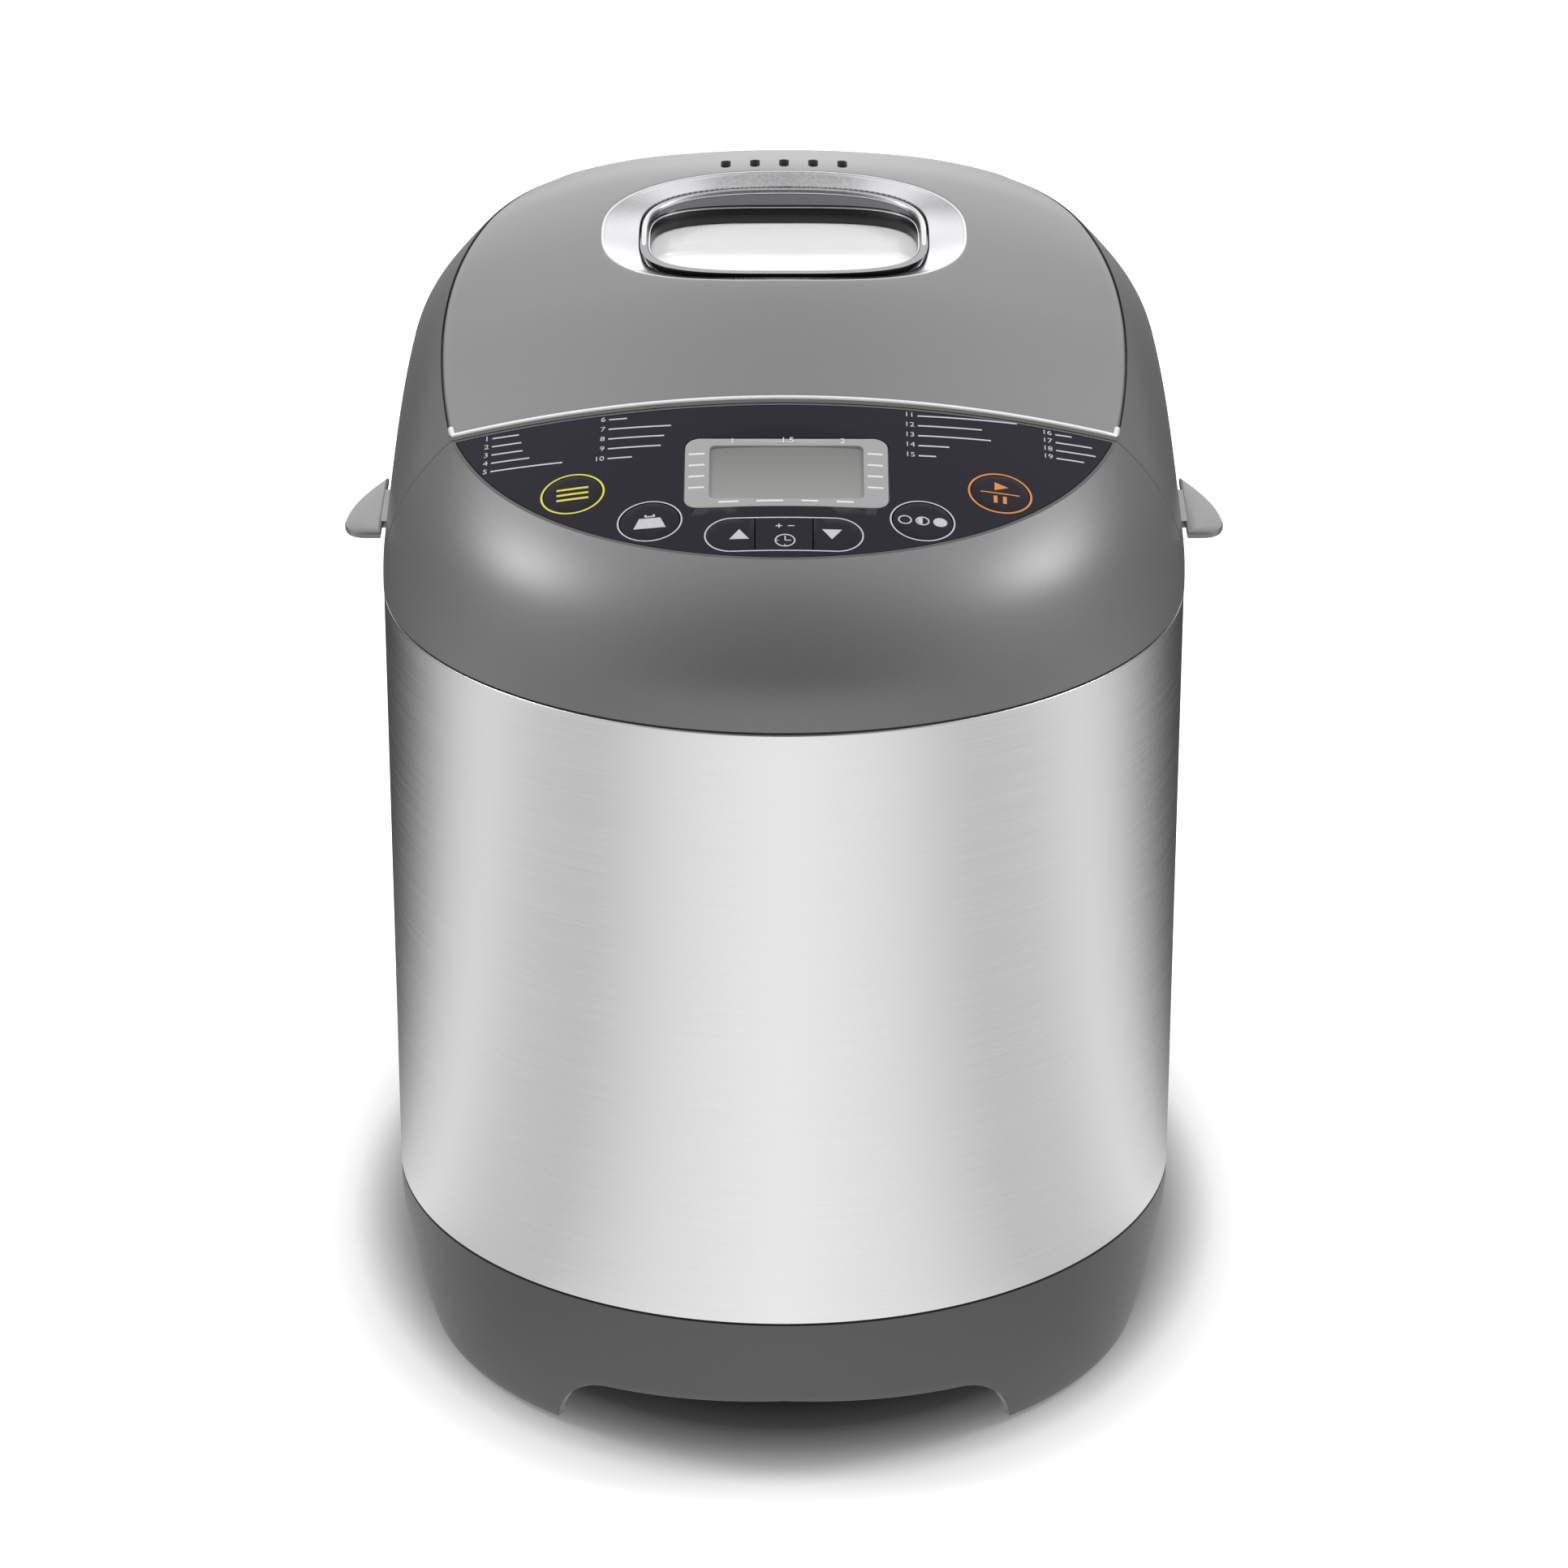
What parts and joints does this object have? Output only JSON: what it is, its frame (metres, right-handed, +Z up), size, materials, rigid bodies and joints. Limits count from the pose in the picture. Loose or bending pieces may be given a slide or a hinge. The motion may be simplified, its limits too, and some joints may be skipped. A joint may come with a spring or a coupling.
{
  "type": "bread machine",
  "caption": "Upright bread machine with a rounded steel body, domed lid with a window, curved control panel, lift-out pan and kneading paddle.",
  "frame": {"origin": "on the table under the middle of the machine", "axes": "+X to the right, +Y to the rear where the lid hinges, +Z up; the control panel faces -Y"},
  "size_m": [0.2586, 0.344, 0.324],
  "materials": {
    "grey_plastic": "satin",
    "silver_plastic": "metallic satin",
    "dark_plastic": "satin",
    "black_plastic": "satin",
    "brushed_steel": "brushed",
    "sheet_steel": "plain",
    "turned_steel": "polished",
    "cast_aluminium": "satin",
    "nonstick_coating": "coated",
    "panel_film": "gloss",
    "bezel_grey": "satin",
    "lcd": "gloss",
    "glass": "clear",
    "black_rubber": "matt",
    "silicone": "matt",
    "element_steel": "heat stained",
    "circuit_board": "coated"
  },
  "bodies": {
    "machine": {"base": "dark_plastic", "foot_1": "black_rubber", "foot_2": "black_rubber", "foot_3": "black_rubber", "foot_4": "black_rubber", "stainless_wrap": "brushed_steel", "rear_cover": "dark_plastic", "cord_inlet": "black_plastic", "rear_screw_left": "turned_steel", "rear_screw_right": "turned_steel", "chassis_plate": "sheet_steel", "chassis_screw_left": "turned_steel", "chassis_screw_right": "turned_steel", "oven_stand": "sheet_steel", "motor_bracket": "sheet_steel", "motor": "cast_aluminium", "drive_belt": "black_rubber", "spindle_bearing": "cast_aluminium", "power_board": "circuit_board", "motor_capacitor": "cast_aluminium", "oven_cavity": "sheet_steel", "heating_element": "element_steel", "temperature_sensor": "turned_steel", "pan_seat": "cast_aluminium", "control_overlay": "panel_film", "lcd_bezel": "bezel_grey", "lcd_module": "lcd", "control_board": "circuit_board", "top_housing": "grey_plastic", "hinge_pin_left": "turned_steel", "hinge_pin_right": "turned_steel"},
    "lid": {"lid_frame": "grey_plastic", "lid_shell": "silver_plastic", "window_bezel": "dark_plastic", "window_glass": "glass", "lid_liner": "sheet_steel", "inner_glass": "glass", "lid_seal": "silicone", "lid_grip_left": "silver_plastic", "lid_grip_right": "silver_plastic", "lid_screw_left": "turned_steel", "lid_screw_right": "turned_steel"},
    "drive": {"spindle": "turned_steel", "drive_coupling": "cast_aluminium", "large_pulley": "black_plastic"},
    "motor_rotor": {"motor_shaft": "turned_steel", "motor_pulley": "black_plastic"},
    "pan": {"bread_pan": "nonstick_coating", "pan_bushing": "cast_aluminium", "pan_seal": "silicone"},
    "pan_drive": {"pan_shaft": "turned_steel", "pan_coupling": "cast_aluminium"},
    "paddle": {"kneading_paddle": "nonstick_coating"},
    "bail": {"pan_bail": "turned_steel"},
    "menu_button": {"menu_button": "panel_film"},
    "weight_button": {"weight_button": "panel_film"},
    "color_button": {"color_button": "panel_film"},
    "start_button": {"start_button": "panel_film"},
    "timer_up_button": {"timer_up_button": "panel_film"},
    "timer_down_button": {"timer_down_button": "panel_film"}
  },
  "joints": [
    {"name": "lid_hinge", "type": "hinge", "parent": "machine", "child": "lid", "pos_m": [0, 0.163, 0.261], "axis": [-1, 0, 0], "range_deg": [0, 80]},
    {"name": "spindle_spin", "type": "hinge", "parent": "machine", "child": "drive", "pos_m": [0, 0.039, 0.06], "axis": [0, 0, 1], "continuous": true},
    {"name": "motor_spin", "type": "hinge", "parent": "machine", "child": "motor_rotor", "pos_m": [0, -0.114, 0.044], "axis": [0, 0, 1], "continuous": true},
    {"name": "pan_lift", "type": "slide", "parent": "machine", "child": "pan", "axis": [0, 0, 1], "range_m": [0, 0.02]},
    {"name": "pan_shaft_spin", "type": "hinge", "parent": "pan", "child": "pan_drive", "pos_m": [0, 0.039, 0.1], "axis": [0, 0, 1], "continuous": true},
    {"name": "paddle_lift", "type": "slide", "parent": "pan_drive", "child": "paddle", "axis": [0, 0, 1], "range_m": [0, 0.025]},
    {"name": "bail_swing", "type": "hinge", "parent": "pan", "child": "bail", "pos_m": [0, 0.039, 0.229], "axis": [-1, 0, 0], "range_deg": [0, 158]},
    {"name": "menu_button_press", "type": "slide", "parent": "machine", "child": "menu_button", "axis": [0.1433, 0.2457, -0.9587], "range_m": [0, 0.0006], "stiffness_N_per_m": 400},
    {"name": "weight_button_press", "type": "slide", "parent": "machine", "child": "weight_button", "axis": [0.0909, 0.2474, -0.9646], "range_m": [0, 0.0006], "stiffness_N_per_m": 400},
    {"name": "color_button_press", "type": "slide", "parent": "machine", "child": "color_button", "axis": [-0.0938, 0.2474, -0.9643], "range_m": [0, 0.0006], "stiffness_N_per_m": 400},
    {"name": "start_button_press", "type": "slide", "parent": "machine", "child": "start_button", "axis": [-0.1464, 0.2455, -0.9583], "range_m": [0, 0.0006], "stiffness_N_per_m": 400},
    {"name": "timer_up_button_press", "type": "slide", "parent": "machine", "child": "timer_up_button", "axis": [0.0364, 0.2466, -0.9684], "range_m": [0, 0.0006], "stiffness_N_per_m": 400},
    {"name": "timer_down_button_press", "type": "slide", "parent": "machine", "child": "timer_down_button", "axis": [-0.0364, 0.2466, -0.9684], "range_m": [0, 0.0006], "stiffness_N_per_m": 400}
  ],
  "couplings": [
    {"joint": "motor_spin", "follows": "spindle_spin", "ratio": 5},
    {"joint": "pan_shaft_spin", "follows": "spindle_spin", "ratio": 1}
  ]
}
